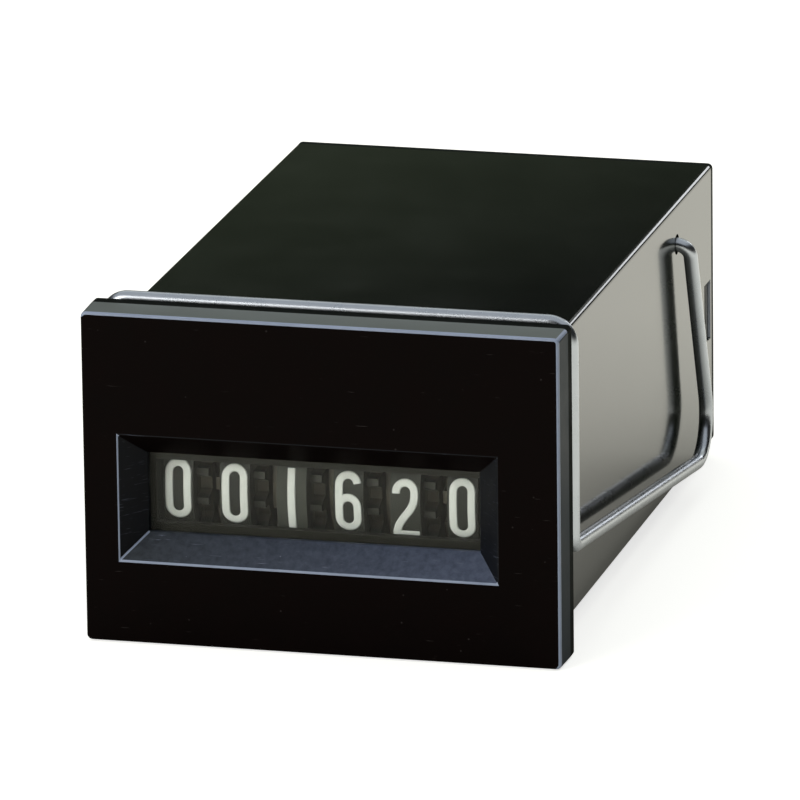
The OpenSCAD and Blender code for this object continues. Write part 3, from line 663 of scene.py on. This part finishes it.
# Each face takes its painted-light copy by where it sits and which way it faces.
for face in bezel.data.polygons:
    c, n = face.center / mm, face.normal
    if in_recess(c) and face_limit < c.y < -1.6:
        if c.y < -3.72 and (c.z < -6.2 or c.x < -15.3) or n.z > 0.12 and n.x > 0.12:
            face.material_index = edge_slot
        elif n.z > 0.3:
            face.material_index = low_slot
        else:
            face.material_index = face_slot if n.z < -0.3 else side_slot
    elif face_limit < c.y < -3.6:
        face.material_index = edge_slot if n.z > 0.1 or n.x > 0.1 else face_slot
    elif c.y > -3.61 and (abs(c.x) > bezel_w / 2 - 0.5 or abs(c.z) > bezel_h / 2 - 0.5):
        if min(n.x, n.z) > 0.3:
            face.material_index = edge_slot
        else:
            face.material_index = top_slot if n.z > 0.3 else flank_slot
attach(bezel, "case")
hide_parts("front_bezel")


# Window pane. A clear acrylic sheet in the pocket behind the recess, with a little haze that
# lifts the dark wheels behind it.
pane_tint = (0.93, 0.95, 0.93)
pane = bpy.data.materials.new("clear_acrylic")
pane.use_nodes = True
tree = pane.node_tree
surface = tree.nodes["Principled BSDF"]
feed(tree, surface.inputs["Base Color"], pane_tint)
surface.inputs["Roughness"].default_value = 0.06
surface.inputs["IOR"].default_value = 1.2
surface.inputs["Transmission Weight"].default_value = 1.0
passing = node(tree, "ShaderNodeBsdfTransparent", Color=pane_tint)
shadow_rays = node(tree, "ShaderNodeLightPath").outputs["Is Shadow Ray"]
either = node(tree, "ShaderNodeMixShader", shadow_rays, surface.outputs["BSDF"], passing.outputs["BSDF"])
feed(tree, tree.nodes["Material Output"].inputs["Surface"], either.outputs["Shader"])
dress("window_pane", pane)


# Wire clip. One length of bright spring wire: hooked into the housing's sides, along to a low
# heel, forward to the panel, up both sides of the bezel and across its top.
def rounded_route(points, radii, steps=12):
    route = [points[0]]
    for before, corner, after, radius in zip(points, points[1:], points[2:], radii):
        leave, go = (before - corner).normalized(), (after - corner).normalized()
        half = leave.angle(go) / 2
        middle = corner + (leave + go).normalized() * radius / math.sin(half)
        start, end = corner + leave * radius / math.tan(half), corner + go * radius / math.tan(half)
        spoke, axis = start - middle, (start - middle).cross(end - middle).normalized()
        for k in range(steps + 1):
            route.append(middle + Matrix.Rotation((math.pi - 2 * half) * k / steps, 3, axis) @ spoke)
    return route + [points[-1]]


wire = 1.1
clip_right, clip_left = 18.04, -17.34
right_hook, hook_end = 17.69, 14.8
hook, heel, foot, top = (hook_y, hook_z), (46.5, -10.45), (0.57, -4.4), (0.57, 12.69)
hook_bend, heel_bend, foot_bend, top_bend = 1.1, 3.4, 0.9, 1.7
corners = [Vector((hook_end, *hook)), Vector((right_hook, *hook))]
corners += [Vector((clip_right, *spot)) for spot in (heel, foot, top)]
corners += [Vector((clip_left, *spot)) for spot in (top, foot, heel, hook)]
corners += [Vector((-hook_end, *hook))]
bends = [hook_bend, heel_bend, foot_bend, top_bend]
clip = drawn("clip_wire", [(rounded_route(corners, bends + bends[::-1]), False)], wire, 6)
smooth(clip)
clip.data.materials.append(
    worked_metal("spring_wire", (0.36, 0.385, 0.42), (0.48, 0.505, 0.54), (0.26, 0.3), (500, 500, 500), 0.0004)
)
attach(clip, "case")
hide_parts("wire_clip")


# Studio. A pale floor, a wide soft box overhead, one in front to the left, a dim card behind
# and a small low one at its right, and the camera where the photograph was taken from.
floor_z = -12.75
bpy.ops.mesh.primitive_plane_add(size=6, location=(0, 0, floor_z * mm))
floor = bpy.context.object
floor.name = "floor"
pale = bpy.data.materials.new("pale_floor")
pale.use_nodes = True
tree = pale.node_tree
surface = tree.nodes["Principled BSDF"].inputs
surface["Roughness"].default_value = 0.9
surface["Specular IOR Level"].default_value = 0.0
rays = node(tree, "ShaderNodeLightPath").outputs
camera_ray, glossy_ray = rays["Is Camera Ray"], rays["Is Glossy Ray"]
seen = node(tree, "ShaderNodeMath", camera_ray, 0.7, operation="MULTIPLY").outputs["Value"]
mirrored = node(
    tree, "ShaderNodeMath", glossy_ray, rays["Is Transmission Ray"], operation="MAXIMUM"
).outputs["Value"]
# What mirrors see of the floor is a darker floor colour and a glow dimmed by ambient occlusion near the
# counter: a painted shadow. The camera sees an even glow that turns the floor white.
open_air = node(tree, "ShaderNodeAmbientOcclusion", Distance=45 * mm)
open_air.samples = 8
painted_shadow_fall = node(tree, "ShaderNodeMath", open_air.outputs["AO"], 2.8, operation="POWER").outputs["Value"]
shaded = node(tree, "ShaderNodeMath", mirrored, painted_shadow_fall, operation="MULTIPLY").outputs["Value"]
part_lift = node(tree, "ShaderNodeMath", shaded, 1.05, operation="MULTIPLY").outputs["Value"]
lift = node(tree, "ShaderNodeMath", seen, part_lift, operation="ADD").outputs["Value"]
feed(tree, surface["Base Color"], mixed(tree, glossy_ray, (0.88, 0.86, 0.76), (0.4, 0.39, 0.33)))
feed(tree, surface["Emission Color"], mixed(tree, camera_ray, (1.0, 0.98, 0.88), (1, 1, 1)))
feed(tree, surface["Emission Strength"], lift)
floor.data.materials.append(pale)

world = bpy.context.scene.world or bpy.data.worlds.new("studio")
bpy.context.scene.world = world
world.use_nodes = True
world.node_tree.nodes["Background"].inputs["Color"].default_value = (0.012, 0.012, 0.012, 1)


def soft_box(name, spot, aim, width, height, radiance, colour):
    light = bpy.data.lights.new(name, "AREA")
    light.shape = "RECTANGLE"
    light.size, light.size_y = width, height
    light.energy = radiance * math.pi * width * height
    light.color = colour
    lamp = bpy.data.objects.new(name, light)
    lamp.location = spot
    lamp.rotation_euler = (Vector(aim) - Vector(spot)).to_track_quat("-Z", "Y").to_euler()
    lamp.visible_camera = False
    bpy.context.collection.objects.link(lamp)


soft_box("overhead_box", (-0.05, -0.05, 0.6), (-0.05, -0.049, 0), 1.5, 1.2, 0.7, (0.9, 0.95, 1.0))
soft_box("front_box", (-0.5, -0.75, 0.38), (0, 0, 0), 0.5, 0.5, 5.0, (1.0, 0.99, 0.96))
soft_box("rear_card", (0, 0.7, 0.56), (0, 0, 0), 1.2, 0.58, 0.7, (0.96, 1.0, 0.95))
soft_box("low_card", (0.18, 0.78, 0.195), (0, 0, 0), 0.16, 0.15, 4.0, (0.95, 0.97, 1.0))

turn, tilt, roll = (math.radians(a) for a in (14.59, 16.12, -0.73))
camera_aim, camera_distance, camera_lens = (6.15, -3.8, 7.33), 787.6, 483.5
back = Vector((math.sin(turn) * math.cos(tilt), -math.cos(turn) * math.cos(tilt), math.sin(tilt)))
right = Vector((math.cos(turn), math.sin(turn), 0))
up = back.cross(right)
right, up = (
    math.cos(roll) * right + math.sin(roll) * up,
    math.cos(roll) * up - math.sin(roll) * right,
)
camera = bpy.data.objects.new("camera", bpy.data.cameras.new("camera"))
camera.data.sensor_width = 36
camera.data.lens = camera_lens
stand = Vector(camera_aim) * mm + back * camera_distance * mm
camera.matrix_world = Matrix.Translation(stand) @ Matrix((right, up, back)).transposed().to_4x4()
bpy.context.collection.objects.link(camera)
bpy.context.scene.camera = camera
bpy.context.scene.view_settings.view_transform = "Standard"
